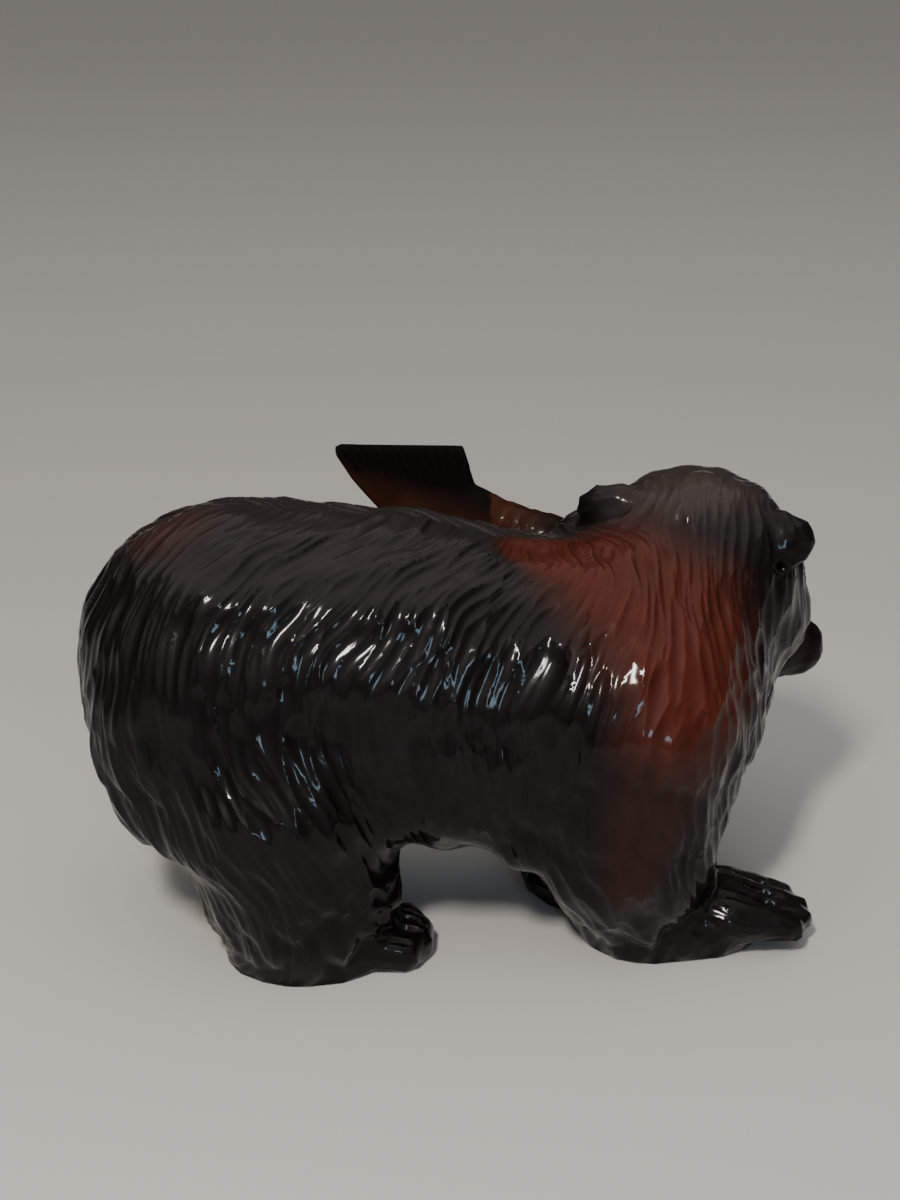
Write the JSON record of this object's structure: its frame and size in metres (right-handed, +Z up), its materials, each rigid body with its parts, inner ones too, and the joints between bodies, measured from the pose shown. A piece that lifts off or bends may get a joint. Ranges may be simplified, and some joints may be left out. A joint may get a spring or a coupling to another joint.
{
  "type": "carved bear with salmon",
  "caption": "Walking bear carved from a block of dark lacquered wood, its head turned back to the left with a salmon held across the mouth; it stands on its flat soles.",
  "frame": {"origin": "centre of the bounding box's footprint, at the height of the soles", "axes": "+X forward along the bear's body, +Y to the bear's left, where it looks and where the salmon is, +Z up"},
  "size_m": [0.2998, 0.18, 0.1736],
  "materials": {
    "lacquered_wood": "dark stain, red-brown on neck and shoulder, under glossy lacquer"
  },
  "bodies": {
    "root": {"carved_bear_with_salmon": "lacquered_wood"}
  },
  "joints": []
}
